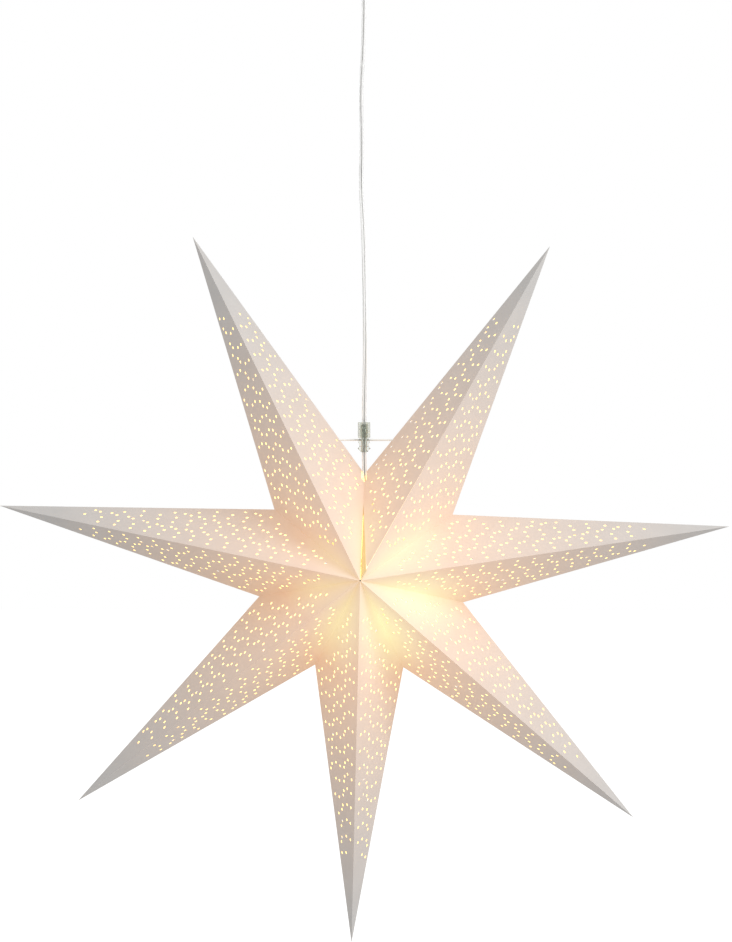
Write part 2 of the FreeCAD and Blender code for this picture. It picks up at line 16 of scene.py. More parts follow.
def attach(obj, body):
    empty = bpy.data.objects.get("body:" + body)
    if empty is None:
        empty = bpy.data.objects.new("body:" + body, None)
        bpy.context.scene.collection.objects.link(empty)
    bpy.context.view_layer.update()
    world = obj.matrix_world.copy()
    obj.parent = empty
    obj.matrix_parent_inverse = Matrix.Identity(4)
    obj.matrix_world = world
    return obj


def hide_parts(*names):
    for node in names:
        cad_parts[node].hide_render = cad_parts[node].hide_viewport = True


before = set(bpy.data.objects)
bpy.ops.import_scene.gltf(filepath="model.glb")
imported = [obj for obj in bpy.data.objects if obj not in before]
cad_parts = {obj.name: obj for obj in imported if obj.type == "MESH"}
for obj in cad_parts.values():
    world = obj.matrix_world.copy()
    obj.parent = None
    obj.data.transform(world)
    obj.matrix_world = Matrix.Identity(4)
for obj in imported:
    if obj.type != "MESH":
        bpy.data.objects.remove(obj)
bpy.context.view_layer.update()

# %% [markdown]
# ## The camera
# At the size that the star is given here, the camera stands two metres from it, 3 cm right of its
# middle and 18 cm above it. A fixed vertical angle keeps that view in any window shape. The lens
# follows from the focal length in pixels, which the perspective of the seven tips gives.

# %% Set the camera
PHOTO_HEIGHT = 942
FOCAL_PIXELS = 1478
SENSOR = 36.0

camera_data = bpy.data.cameras.new("camera")
camera_data.sensor_fit = "VERTICAL"
camera_data.sensor_height = SENSOR
camera_data.lens = SENSOR * FOCAL_PIXELS / PHOTO_HEIGHT
camera = bpy.data.objects.new("camera", camera_data)
camera.location = (0.0263, -1.996, -0.6825)
camera.rotation_euler = (math.radians(90 - 1.39), 0.0, math.radians(0.68))
bpy.context.scene.collection.objects.link(camera)
bpy.context.scene.camera = camera
print("lens", round(camera_data.lens, 2), "mm")

# %% [markdown]
# ## Helpers for modelling by hand
# Operators act on whatever is selected, so each step starts from nothing selected. Three small
# helpers cover most of the work: one makes an object the only active one, one picks corners of a
# mesh by a test on their place, and one finishes a piece so that its object sits at the origin.


# %% Select one object
def only(piece):
    """Makes this the one selected and active object."""
    bpy.ops.object.select_all(action="DESELECT")
    piece.select_set(True)
    bpy.context.view_layer.objects.active = piece
    return piece


# %% Select corners by their place
def pick(piece, test):
    """In edit mode, selects the corners of the mesh that pass the test."""
    bpy.ops.mesh.select_all(action="DESELECT")
    mesh = bmesh.from_edit_mesh(piece.data)
    for corner in mesh.verts:
        corner.select = test(corner)
    mesh.select_flush_mode()
    bmesh.update_edit_mesh(piece.data)


# %% Join, and settle at the origin
def join(pieces, name):
    """Joins several objects into one and names it."""
    only(pieces[0])
    for piece in pieces[1:]:
        piece.select_set(True)
    if len(pieces) > 1:
        bpy.ops.object.join()
    joined = bpy.context.object
    joined.name = name
    joined.data.name = name
    return joined


def settle(piece):
    """Puts the piece's place into its mesh, so that its object is unturned and unscaled."""
    only(piece)
    bpy.ops.object.transform_apply(location=True, rotation=True, scale=True)
    return piece


# %% [markdown]
# ## The flat flex
# The lamp hangs on a flat two-core PVC flex that was packed in a bundle, so it still has slow
# waves and turns on itself as it falls. It is held taut by the star, runs through the clear grip,
# enters the star at its top seam and ends in the lampholder. A NURBS curve carries the waves, and
# a small section of two round cores grown together is swept along it. The curve's tilt gives the
# twist. Its points are those of the construction model, in metres. An attribute marks the groove
# between the cores and the two thin edges, where a white flex looks grey: its colour is darkened
# there as painted shade.

# %% The flex's route
FLEX_WIDTH = 0.006
FLEX_THICKNESS = 0.0034
FLEX_ROUTE = (  # place, and how far the flat flex is turned there, in degrees
    ((0.0, 0.0, -0.0741), 0),
    ((0.0, 0.0, -0.150), 14),
    ((-0.0045, 0.001, -0.222), 34),
    ((-0.0025, -0.0008, -0.285), 22),
    ((-0.0045, 0.0008, -0.346), -8),
    ((-0.0008, -0.0006, -0.410), -30),
    ((0.0002, 0.0007, -0.490), -66),
    ((0.0016, -0.0004, -0.573), -34),
    ((0.0, 0.0, -0.641), -4),
    ((0.0, 0.0, -0.753), 0),
    ((0.0105, -0.0065, -0.773), 0),
    ((0.018, -0.012, -0.791), 0),
    ((0.018, -0.012, -0.810), 0),
)


def flex_route(name):
    """The flex's middle line as one open NURBS curve."""
    curve = bpy.data.curves.new(name, "CURVE")
    curve.dimensions = "3D"
    curve.resolution_u = 12
    spline = curve.splines.new("NURBS")
    spline.points.add(len(FLEX_ROUTE) - 1)
    for point, (place, turn) in zip(spline.points, FLEX_ROUTE):
        point.co = (*place, 1.0)
        point.tilt = math.radians(turn)
    spline.order_u = 3
    spline.use_endpoint_u = True
    route = bpy.data.objects.new(name, curve)
    bpy.context.scene.collection.objects.link(route)
    return route


# %% Read the middle line, then sweep the section along it
SECTION_POINTS = 32
CORE_RADIUS = FLEX_THICKNESS / 2
CORE_PLACE = FLEX_WIDTH / 2 - CORE_RADIUS
EDGE_SHADE = 0.45
EDGE_FROM = 0.97
GROOVE_HALF = 0.3

flex = flex_route("flex")
line_mesh = bpy.data.meshes.new_from_object(flex)
flex_line = [corner.co.copy() for corner in line_mesh.vertices]
bpy.data.meshes.remove(line_mesh)

section_curve = bpy.data.curves.new("flex_section", "CURVE")
section_curve.dimensions = "2D"
outline = section_curve.splines.new("POLY")
outline.points.add(SECTION_POINTS - 1)
outline.use_cyclic_u = True
for i, point in enumerate(outline.points):
    angle = 2 * math.pi * i / SECTION_POINTS
    wide = FLEX_WIDTH / 2 * math.cos(angle)
    deep = math.sqrt(max(CORE_RADIUS**2 - (abs(wide) - CORE_PLACE) ** 2, 0.0))
    point.co = (wide, math.copysign(deep, math.sin(angle)), 0.0, 1.0)
section = bpy.data.objects.new("flex_section", section_curve)
bpy.context.scene.collection.objects.link(section)
flex.data.bevel_mode = "OBJECT"
flex.data.bevel_object = section
flex.data.use_fill_caps = True
only(flex)
bpy.ops.object.convert(target="MESH")
flex = bpy.context.object
flex.name = "flex"
bpy.data.objects.remove(section)
bpy.ops.object.shade_smooth()
# Painted shade: the groove between the cores grows darker towards its middle, and the thin edges
# take a fixed grey.
painted_flex_shade = flex.data.attributes.new("painted_flex_shade", "FLOAT", "POINT")
for i, corner in enumerate(painted_flex_shade.data):
    wide = abs(math.cos(2 * math.pi * i / SECTION_POINTS))
    corner.value = EDGE_SHADE if wide > EDGE_FROM else max(0.0, 1.0 - wide / GROOVE_HALF)
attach(flex, "pendant")
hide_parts("drop_flex")
line_length = sum((b - a).length for a, b in zip(flex_line, flex_line[1:]))
print("flex line", round(line_length, 4), "m,", len(flex.data.polygons), "faces")

# %% [markdown]
# ## The hollow points
# Each of the seven points is one sheet of card, punched flat with small round holes, creased and
# folded into a hollow point, and glued to its neighbours at flanges along the seams. It is made
# here the same way: a flat blank for each side of the ridge, folded up about the ridge, mirrored
# to the back and joined at the creases. Most points are alike. The two at the top stand open a
# little wider, because the closing seam between them lets the flex in.

# %% The star's sizes and places
STAR_MIDDLE = Vector((-0.003, 0.0038, -0.865))
STAR_RADIUS = 0.500
HALF_DEPTH = 0.150
VALLEY_RADIUS = 0.144
CLOSING_VALLEY_RADIUS = 0.130
STAR_ROLL = 1.6
CLOSING_OPENING = 57.0
POINT_COUNT = 7
CARD = 0.0005
FLANGE = 0.014
MIDDLE_HOLE = 0.0010
SLIT = 0.016
SLIT_START = 0.70
FLAP_GAP = 0.0012
UPPER_REACH = 0.005
BOTTOM_REACH = 0.010

other_opening = (360.0 - 2 * CLOSING_OPENING) / (POINT_COUNT - 2)
seam_angles = [STAR_ROLL, STAR_ROLL + CLOSING_OPENING]
for i in range(POINT_COUNT - 2):
    seam_angles.append(seam_angles[-1] + other_opening)
print("seams at", [round(angle, 1) for angle in seam_angles])


# %% A point's corners, before it is turned to its place
def fold_corners(opening, valley_left, valley_right, reach):
    """Tip, front apex and the two valley corners of a point that stands straight up."""
    half = math.radians(opening / 2)
    tip = Vector((0.0, 0.0, STAR_RADIUS + reach))
    apex = Vector((0.0, -HALF_DEPTH, 0.0))
    left = Vector((-valley_left * math.sin(half), 0.0, valley_left * math.cos(half)))
    right = Vector((valley_right * math.sin(half), 0.0, valley_right * math.cos(half)))
    return tip, apex, left, right


# %% [markdown]
# ### The punched pattern
# The holes are four millimetres wide. They follow a plain layout of this lamp's own: a short row
# of pairs across the side every 23 mm, and between two rows a loose string of two holes in each
# gap of the row. A strip along each crease, the middle of the star and the tips stay bare, because
# card tears where a hole meets a fold.

# %% Lay out the holes
HOLE_RADIUS = 0.0020
HOLE_SIDES = 8
ROW_SPACING = 0.023
COLUMN_SPACING = 0.0112
BARE_RIDGE = 0.011
BARE_EDGE = 0.0065
BARE_SEAM = 0.011
BARE_MIDDLE = 0.058
BARE_BETWEEN = 0.0065
BARE_TIP = 0.70
TIP_SLANT = 2.0
FIRST_ROW = 0.4
ROW_SHIFT = 0.25
COLUMNS = 14
STRING_EVERY = 3
STRING_PLACES = ((0.0075, -0.001), (0.0155, 0.001))
WAVER = 0.0022
BOW_LENGTH = 0.024
BOW_TURN = 0.9
SWAY_LENGTH = 0.030
SCATTER = 0.0008


def edge_distance(place, start, end):
    """How far a place in the flat lies from a line, positive on its left."""
    along = (end - start).normalized()
    away = place - start
    return along.x * away.y - along.y * away.x


def hole_places(length, valley, seed):
    """Hole centres on a flat side: the ridge runs along X, the valley corner is at +Y."""
    chance = random.Random(seed)
    apex, tip = Vector((0.0, 0.0)), Vector((length, 0.0))
    found = []
    rows = int(length / ROW_SPACING)
    for row in range(rows):
        start = ROW_SPACING * (row + FIRST_ROW + ROW_SHIFT * (seed % 2))
        for step in range(COLUMNS):
            across = BARE_RIDGE + COLUMN_SPACING * step
            bow = WAVER * math.sin(across / BOW_LENGTH + row * BOW_TURN + seed)
            sway = WAVER * math.sin(start / SWAY_LENGTH + step)
            if step % STRING_EVERY < STRING_EVERY - 1:
                found.append(Vector((start + bow, across)))
                continue
            for along, lean in STRING_PLACES:
                found.append(Vector((start + along + bow, across + sway + lean)))
    kept = []
    for place in found:
        place = place + Vector((chance.uniform(-1, 1), chance.uniform(-1, 1))) * SCATTER
        far = place.length > BARE_MIDDLE and place.x < length * BARE_TIP + place.y * TIP_SLANT
        edge = edge_distance(place, tip, valley) > BARE_EDGE
        seam = edge_distance(place, valley, apex) > BARE_SEAM
        ridge = place.y > BARE_RIDGE * 0.8
        apart = all((place - other).length > BARE_BETWEEN for other in kept)
        if all((far, edge, seam, ridge, apart)):
            kept.append(place)
    return kept


# %% [markdown]
# ### A flat blank
# A ring of corners is the outline, and each corner is carried to its place. One small ring is
# the first hole, and it is copied from place to place. Filling between all the rings gives a
# sheet with clean holes, as a punch leaves it.


# %% Draw the outline, copy the holes, fill
def blank(outline, holes):
    """A flat punched sheet from an outline and hole centres, both in the flat."""
    bpy.ops.object.select_all(action="DESELECT")
    bpy.ops.mesh.primitive_circle_add(vertices=len(outline), radius=0.01, fill_type="NOTHING")
    sheet = bpy.context.object
    bpy.ops.object.mode_set(mode="EDIT")
    for i, corner in enumerate(outline):
        pick(sheet, lambda v: v.index == i)
        here = bmesh.from_edit_mesh(sheet.data).verts
        here.ensure_lookup_table()
        bpy.ops.transform.translate(value=Vector((*corner, 0.0)) - here[i].co)
    if holes:
        bpy.ops.mesh.select_all(action="DESELECT")
        bpy.ops.mesh.primitive_circle_add(
            vertices=HOLE_SIDES, radius=HOLE_RADIUS, location=(*holes[0], 0.0)
        )
        for before, after in zip(holes, holes[1:]):
            step = after - before
            bpy.ops.mesh.duplicate_move(TRANSFORM_OT_translate={"value": (*step, 0.0)})
    bpy.ops.mesh.select_all(action="SELECT")
    bpy.ops.mesh.fill(use_beauty=True)
    bpy.ops.object.mode_set(mode="OBJECT")
    for material in (card_outside, card_flange):
        sheet.data.materials.append(material)
    return sheet


# %% [markdown]
# ### Folding a side up
# The flat side lies with its ridge along X. A matrix carries that ridge onto the line from the
# front apex to the tip, and the sheet onto the plane of the apex, the tip and its valley corner.


# %% A crease across a flat sheet
def mark_across(sheet, distance):
    """Cuts the faces across the ridge at this distance, so that the slit's end has a corner."""
    only(sheet)
    bpy.ops.object.mode_set(mode="EDIT")
    bpy.ops.mesh.select_all(action="SELECT")
    bpy.ops.mesh.bisect(plane_co=(distance, 0.0, 0.0), plane_no=(1.0, 0.0, 0.0))
    bpy.ops.object.mode_set(mode="OBJECT")


# %% One folded side
def folded_side(corners, side, seed, slit=0.0):
    """The front side of a point left or right of its ridge."""
    tip, apex, left, right = corners
    valley = left if side == "left" else right
    along = (tip - apex).normalized()
    length = (tip - apex).length
    reach = (valley - apex).dot(along)
    across = (valley - apex) - along * reach
    width = across.length
    across.normalize()
    valley_radius = math.hypot(valley.x, valley.z)
    flat_valley = Vector((reach, width))
    ridge_start = Vector((MIDDLE_HOLE * length / tip.length, 0.0))
    seam_start = flat_valley * (MIDDLE_HOLE / valley_radius)
    if slit and side == "left":
        ridge_start, seam_start = Vector((slit, 0.0)), flat_valley * SLIT_START
    outline = [ridge_start, Vector((length, 0.0)), flat_valley, seam_start]
    holes = hole_places(length, flat_valley, seed)
    if side == "right":
        outline = [Vector((p.x, -p.y)) for p in reversed(outline)]
        holes = [Vector((p.x, -p.y)) for p in holes]
        across = -across
    sheet = blank(outline, holes)
    if slit and side == "right":
        mark_across(sheet, slit)
    outward = along.cross(across)
    place = Matrix((along, across, outward)).transposed().to_4x4()
    sheet.matrix_world = Matrix.Translation(apex) @ place
    return settle(sheet), len(holes)


# %% [markdown]
# ### The glue flanges
# Along each seam the card turns in by 14 mm, and that strip is glued to the next point's strip.
# The middle of the seam stays open, so the light reaches every point.


# %% One flange strip
def flange_corners(valley, apex, start_share):
    """Corners of a strip along the crease from a valley corner towards the front apex."""
    half, reach = apex.length, valley.length
    share = 1 - FLANGE * math.hypot(reach, half) / (half * reach)
    inner_valley, inner_end = valley * share, apex * share
    outer_start = apex.lerp(valley, start_share)
    inner_start = inner_end.lerp(inner_valley, start_share)
    return valley, outer_start, inner_valley, inner_start


def flange_strip(corners):
    """A strip of card between two pairs of corners."""
    bpy.ops.object.select_all(action="DESELECT")
    bpy.ops.mesh.primitive_plane_add(size=0.01)
    strip = bpy.context.object
    bpy.ops.object.mode_set(mode="EDIT")
    for i, corner in enumerate(corners):
        pick(strip, lambda v: v.index == i)
        here = bmesh.from_edit_mesh(strip.data).verts
        here.ensure_lookup_table()
        bpy.ops.transform.translate(value=corner - here[i].co)
    bpy.ops.object.mode_set(mode="OBJECT")
    for material in (card_outside, card_flange):
        strip.data.materials.append(material)
    strip.data.polygons[0].material_index = 1
    return settle(strip)


# %% [markdown]
# ### From sheets to a hollow point
# The two folded sides and their two strips are the front half. A copy mirrored through the star's
# plane is the back half. Their doubles are merged at the creases, the normals are turned outwards,
# and Solidify gives the card its thickness inwards. Its inner faces and its cut edges get
# material slots of their own, because the inside of the card is what the bulb lights.

# %% Build one hollow point that stands straight up
MERGE_WITHIN = 0.00002


def hollow_point(name, opening, valley_left, valley_right, reach, seeds, slit=0.0):
    """A punched point of card with its flanges, standing up from the star's middle."""
    corners = fold_corners(opening, valley_left, valley_right, reach)
    tip, apex, left, right = corners
    left_side, left_count = folded_side(corners, "left", seeds[0], slit)
    right_side, right_count = folded_side(corners, "right", seeds[1], slit)
    left_start = SLIT_START if slit else MIDDLE_HOLE / valley_left
    left_corners = flange_corners(left, apex, left_start)
    strips = [
        flange_strip(left_corners),
        flange_strip(flange_corners(right, apex, MIDDLE_HOLE / valley_right)),
    ]
    if slit:
        slit_end = apex.lerp(tip, slit / (tip - apex).length)
        inner_end = slit_end + Vector((0.0, FLANGE, 0.0))
        strips.append(flange_strip((left_corners[1], slit_end, left_corners[3], inner_end)))
    front = join([left_side, right_side, *strips], name)
    only(front)
    bpy.ops.object.duplicate()
    back = bpy.context.object
    back.scale = (1.0, -1.0, 1.0)
    settle(back)
    card = join([front, back], name)
    bpy.ops.object.mode_set(mode="EDIT")
    bpy.ops.mesh.select_all(action="SELECT")
    bpy.ops.mesh.remove_doubles(threshold=MERGE_WITHIN)
    bpy.ops.mesh.normals_make_consistent(inside=False)
    bpy.ops.object.mode_set(mode="OBJECT")
    print(name, "holes", 2 * (left_count + right_count), "faces", len(card.data.polygons))
    return card


# %% Turn the sheet the right way out and give it its thickness
def thicken_card(card):
    """Checks that the card faces outwards, then gives it its thickness inwards."""
    outward = sum(face.area * face.normal.y * face.center.y for face in card.data.polygons)
    if outward < 0:
        only(card)
        bpy.ops.object.mode_set(mode="EDIT")
        bpy.ops.mesh.select_all(action="SELECT")
        bpy.ops.mesh.flip_normals()
        bpy.ops.object.mode_set(mode="OBJECT")
    only(card)
    for material in (card_inside, card_flange, card_edge):
        card.data.materials.append(material)
    thickness = card.modifiers.new("card_thickness", "SOLIDIFY")
    thickness.thickness = CARD
    thickness.offset = -1.0
    thickness.material_offset = 2
    thickness.material_offset_rim = 4
    bpy.ops.object.modifier_apply(modifier=thickness.name)
    return card


# %% [markdown]
# ## Materials
# Each finish starts from what the real surface is. One function turns a hex colour into the linear
# values that Blender mixes, and one adds a node with its settings and links.


# %% Colours and nodes
def linear(hex_colour):
    """An sRGB hex colour as linear red, green, blue and alpha."""
    channels = [int(hex_colour[i:i + 2], 16) / 255 for i in (1, 3, 5)]
    bright = [c / 12.92 if c <= 0.04045 else ((c + 0.055) / 1.055) ** 2.4 for c in channels]
    return (*bright, 1.0)


def add_node(tree, kind, sockets=None, **settings):
    """Adds a node. A socket gets a value, or is linked if it is given another node's output."""
    node = tree.nodes.new(kind)
    for name, setting in settings.items():
        setattr(node, name, setting)
    for name, value in (sockets or {}).items():
        if isinstance(value, bpy.types.NodeSocket):
            tree.links.new(value, node.inputs[name])
        else:
            node.inputs[name].default_value = value
    return node


def start_material(name):
    """A new material with nothing in it yet."""
    material = bpy.data.materials.new(name)
    material.use_nodes = True
    material.node_tree.nodes.clear()
    return material, material.node_tree


# %% [markdown]
# ### Uncoated card, lit from behind
# The star is white uncoated card, die-cut and creased. Its fibres give a soft, dull surface with a
# faint clouding. Light from the bulb soaks through it: pale yellow close to the bulb, warm pink
# further out, and nothing at the tips. A plain law gives it: the strength falls with the logarithm
# of the distance until it ends at the reach, and the colour goes from near to far. Card is taken
# to scatter light mostly straight on, so the front and the back count as nearer to the bulb than
# they are. The lampholder is taken to shade the light that goes up, so the glow's middle lies a
# little below the bulb's. The law's few values were set to come near colours measured in the
# photo.

# %% A measure of the bulb's light at each place
BULB_MIDDLE = (0.018, -0.012, -0.8791)
GLOW_MIDDLE = (0.018, -0.012, -0.8875)
NEAR_DISTANCE = 0.100
FORWARD_SCATTER = (1.0, 0.80, 1.0)
GLOW_REACH = 0.45
GLOW_STRENGTH = 0.28
YELLOW_FROM = 0.060
YELLOW_TO = 0.125
NEAR_COLOUR = "#FFF7A2"
FAR_COLOUR = "#FFB15D"


def light_through(tree, place):
    """The colour and strength of the bulb's light that soaks through the card at each place."""
    drawn_in = add_node(
        tree, "ShaderNodeVectorMath", {0: place, 1: FORWARD_SCATTER}, operation="MULTIPLY"
    )
    middle = [along * share for along, share in zip(GLOW_MIDDLE, FORWARD_SCATTER)]
    away = add_node(
        tree, "ShaderNodeVectorMath", {0: drawn_in.outputs[0], 1: middle}, operation="DISTANCE"
    ).outputs["Value"]
    near = add_node(tree, "ShaderNodeMath", {0: GLOW_REACH, 1: away}, operation="DIVIDE")
    fall = add_node(
        tree, "ShaderNodeMath", {0: near.outputs[0], 1: math.e}, operation="LOGARITHM"
    )
    level = add_node(
        tree, "ShaderNodeMath", {0: fall.outputs[0], 1: GLOW_STRENGTH}, operation="MULTIPLY"
    )
    level = add_node(tree, "ShaderNodeMath", {0: level.outputs[0], 1: 0.0}, operation="MAXIMUM")
    warmth = add_node(
        tree, "ShaderNodeMapRange", {"Value": away, "From Min": YELLOW_FROM, "From Max": YELLOW_TO}
    )
    tint = add_node(
        tree, "ShaderNodeMix",
        {0: warmth.outputs[0], 6: linear(NEAR_COLOUR), 7: linear(FAR_COLOUR)}, data_type="RGBA",
    )
    return {"Color": tint.outputs[2], "Strength": level.outputs[0]}


def light_from_bulb(tree, place, strength, power, least):
    """Strength times a power of nearness to the bulb, on top of a least value."""
    away = add_node(tree, "ShaderNodeVectorMath", {0: place, 1: BULB_MIDDLE}, operation="DISTANCE")
    near = add_node(
        tree, "ShaderNodeMath", {0: NEAR_DISTANCE, 1: away.outputs["Value"]},
        operation="DIVIDE",
    )
    fall = add_node(tree, "ShaderNodeMath", {0: near.outputs[0], 1: power}, operation="POWER")
    lit = add_node(
        tree, "ShaderNodeMath", {0: fall.outputs[0], 1: strength, 2: least},
        operation="MULTIPLY_ADD",
    )
    return lit.outputs[0]


# %% The outside of the card
CLOUD_SIZE = 0.035
FIBRE_SIZE = 0.0012


def card_skin(name, light_hex, shade_hex):
    """Dull card: clouded colour, fibre relief. Returns its tree, its shader and its place."""
    material, tree = start_material(name)
    place = add_node(tree, "ShaderNodeTexCoord").outputs["Object"]
    clouds = add_node(
        tree, "ShaderNodeTexNoise", {"Vector": place, "Scale": 1 / CLOUD_SIZE, "Detail": 3.0}
    )
    colour = add_node(
        tree, "ShaderNodeMix",
        {0: clouds.outputs["Fac"], 6: linear(light_hex), 7: linear(shade_hex)}, data_type="RGBA",
    )
    fibres = add_node(
        tree, "ShaderNodeTexNoise", {"Vector": place, "Scale": 1 / FIBRE_SIZE, "Detail": 2.0}
    )
    relief = add_node(
        tree, "ShaderNodeBump",
        {"Height": fibres.outputs["Fac"], "Strength": 0.25, "Distance": 0.00012},
    )
    shader = add_node(
        tree, "ShaderNodeBsdfPrincipled",
        {
            "Base Color": colour.outputs[2], "Roughness": 0.88, "Specular IOR Level": 0.25,
            "Normal": relief.outputs["Normal"],
        },
    )
    return material, tree, shader.outputs[0], place


card_outside, tree, skin, place = card_skin("uncoated_card_outside", "#CECBC8", "#C5C2BF")
# Painted light: the bulb's light that comes through the card is an emission added to its outside.
glow = add_node(tree, "ShaderNodeEmission", light_through(tree, place))
both = add_node(tree, "ShaderNodeAddShader", {0: skin, 1: glow.outputs[0]})
add_node(tree, "ShaderNodeOutputMaterial", {"Surface": both.outputs[0]})
print("card outside", len(tree.nodes), "nodes")

# %% The inside of the card, and its cut edge
# Painted light: the inside is a lighter, warmer copy of the card, and an emission that grows near
# the bulb stands in for the bulb's light on it.
PAINTED_INSIDE_GLOW = "#FFDC90"

card_inside, tree, skin, place = card_skin("uncoated_card_inside_painted_light", "#F4EFE8", "#ECE6DE")
lit = light_from_bulb(tree, place, strength=0.70, power=0.7, least=0.45)
glow = add_node(tree, "ShaderNodeEmission", {"Color": linear(PAINTED_INSIDE_GLOW), "Strength": lit})
both = add_node(tree, "ShaderNodeAddShader", {0: skin, 1: glow.outputs[0]})
add_node(tree, "ShaderNodeOutputMaterial", {"Surface": both.outputs[0]})

# Painted shade: the cut edge is a darker copy of the card.
card_edge, tree, skin, place = card_skin("uncoated_card_edge_painted_shade", "#BFBAB5", "#B3AEA9")
add_node(tree, "ShaderNodeOutputMaterial", {"Surface": skin})

# %% The flanges, which the bulb lights at a low angle
# Painted light: the flanges are the white card given a yellow base colour and an emission, for the
# bulb's light that falls on them.
PAINTED_FLANGE_GLOW = "#FFD98A"
FLANGE_LIGHT = 0.16

card_flange, tree, skin, place = card_skin("uncoated_card_flange_painted_light", "#EFD69E", "#E8CE92")
glow = add_node(
    tree, "ShaderNodeEmission", {"Color": linear(PAINTED_FLANGE_GLOW), "Strength": FLANGE_LIGHT}
)
both = add_node(tree, "ShaderNodeAddShader", {0: skin, 1: glow.outputs[0]})
add_node(tree, "ShaderNodeOutputMaterial", {"Surface": both.outputs[0]})

# %% [markdown]
# ## Making the seven points
# One point is made for the four that are alike, and copied. The bottom one is drawn down 10 mm
# longer. The two at the closing seam have mirrored outlines, but the right one has a slit: its
# closing edge leaves the seam and stops 16 mm short of the middle, and the light shows there as a
# thin bright wedge.

# %% The four like points
POINT_NAMES = (
    "point_upper_right", "point_right", "point_lower_right", "point_bottom",
    "point_lower_left", "point_left", "point_upper_left",
)


def turn_to_place(card, angle, node):
    """Turns a point that stands up to its clockwise angle and moves it to the star's middle."""
    only(card)
    card.rotation_euler = (0.0, math.radians(angle), 0.0)
    card.location = STAR_MIDDLE
    settle(card)
    card.name = "card_" + node
    card.data.name = card.name
    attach(card, "star")
    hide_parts(node)
    return card


def copy_of(piece):
    """A copy with its own mesh."""
    only(piece)
    bpy.ops.object.duplicate()
    return bpy.context.object


like = thicken_card(
    hollow_point("like_point", other_opening, VALLEY_RADIUS, VALLEY_RADIUS, 0.0, (3, 4))
)
LIKE_POINTS = (1, 2, 4, 5)
for i in LIKE_POINTS:
    card = like if i == LIKE_POINTS[-1] else copy_of(like)
    turn_to_place(card, (seam_angles[i] + seam_angles[i + 1]) / 2, POINT_NAMES[i])
print("like points", len(LIKE_POINTS))

# %% The bottom point, which is drawn down a little longer
BOTTOM = 3

bottom = thicken_card(
    hollow_point(
        "bottom_point", other_opening, VALLEY_RADIUS, VALLEY_RADIUS, BOTTOM_REACH, (3, 4)
    )
)
turn_to_place(bottom, (seam_angles[BOTTOM] + seam_angles[BOTTOM + 1]) / 2, POINT_NAMES[BOTTOM])

# %% The two points at the closing seam
upper_right = thicken_card(
    hollow_point(
        "upper_right", CLOSING_OPENING, CLOSING_VALLEY_RADIUS, VALLEY_RADIUS, UPPER_REACH,
        (6, 5), SLIT,
    )
)
upper_left = thicken_card(
    hollow_point(
        "upper_left", CLOSING_OPENING, VALLEY_RADIUS, CLOSING_VALLEY_RADIUS, UPPER_REACH, (5, 7)
    )
)
turn_to_place(upper_right, STAR_ROLL + CLOSING_OPENING / 2, "point_upper_right")
turn_to_place(upper_left, STAR_ROLL - CLOSING_OPENING / 2, "point_upper_left")

# %% [markdown]
# ### The ways through the card
# The hanger rod passes through the side creases of the two upper points, and the flex passes
# through the seam between them. A cutter for each is taken away from both points.

# %% Cut the rod's holes and the flex's way
ROD_HOLE = 0.00145
ROD_RISE = 0.176
FLEX_WAY = ((-0.0034, 0.0034), (-0.0082, 0.0050), (0.102, 0.144))


def cut_away(piece, cutter):
    """Takes the cutter's shape out of the piece."""
    only(piece)
    cut = piece.modifiers.new("cut", "BOOLEAN")
    cut.operation = "DIFFERENCE"
    cut.solver = "FAST"
    cut.object = cutter
    bpy.ops.object.modifier_apply(modifier=cut.name)
    print(piece.name, "faces after the cut", len(piece.data.polygons))


bpy.ops.object.select_all(action="DESELECT")
bpy.ops.mesh.primitive_cylinder_add(
    vertices=16, radius=ROD_HOLE, depth=0.16, rotation=(0.0, math.pi / 2, 0.0),
    location=(0.0, STAR_MIDDLE.y, STAR_MIDDLE.z + ROD_RISE),
)
rod_cutter = bpy.context.object
(x0, x1), (y0, y1), (z0, z1) = FLEX_WAY
bpy.ops.object.select_all(action="DESELECT")
bpy.ops.mesh.primitive_cube_add(
    size=1.0, scale=(x1 - x0, y1 - y0, z1 - z0),
    location=((x0 + x1) / 2, (y0 + y1) / 2, STAR_MIDDLE.z + (z0 + z1) / 2),
)
flex_cutter = bpy.context.object
for card in (upper_right, upper_left):
    for cutter in (rod_cutter, flex_cutter):
        cut_away(card, cutter)
bpy.data.objects.remove(rod_cutter)
bpy.data.objects.remove(flex_cutter)
print("upper points cut")

# %% [markdown]
# ## The flaps behind the slits
# The upper left point's card goes on past the closing seam as a glue flap. It lies just behind its
# neighbour, whose edge is cut back at the slit, so the flap shows there as a yellow wedge of
# painted bulb light. The photo doesn't show the star's back, which is given the same slit and
# flap.

# %% Lay a flap behind each slit
FLAP_REACH = 0.35

tip, apex, left, right = fold_corners(
    CLOSING_OPENING, CLOSING_VALLEY_RADIUS, VALLEY_RADIUS, UPPER_REACH
)
slit_end = apex.lerp(tip, SLIT / (tip - apex).length)
corners = (apex.lerp(left, SLIT_START), slit_end, apex.lerp(left, FLAP_REACH), apex)
across_card = (left - apex).cross(tip - apex).normalized()
inward = across_card if across_card.y > 0 else -across_card
flap = flange_strip([corner + inward * FLAP_GAP for corner in corners])
back_flap = copy_of(flap)
back_flap.scale = (1.0, -1.0, 1.0)
flap = join([flap, settle(back_flap)], "flaps")
flap.rotation_euler = (0.0, math.radians(STAR_ROLL + CLOSING_OPENING / 2), 0.0)
flap.location = STAR_MIDDLE
settle(flap)
thickness = flap.modifiers.new("card_thickness", "SOLIDIFY")
thickness.thickness = CARD
thickness.offset = 0.0
bpy.ops.object.modifier_apply(modifier=thickness.name)
join([upper_left, flap], "card_point_upper_left")
print("flaps laid behind the slits")

# %% [markdown]
# ## The other finishes
# The pieces from the construction model keep their shape and get their real finish: moulded ABS
# for the cup and the lampholder, clear moulded polycarbonate for the grip, coated wire for the
# rod, zinc-plated steel for the strap, brass for the terminals, extruded PVC for the flex.


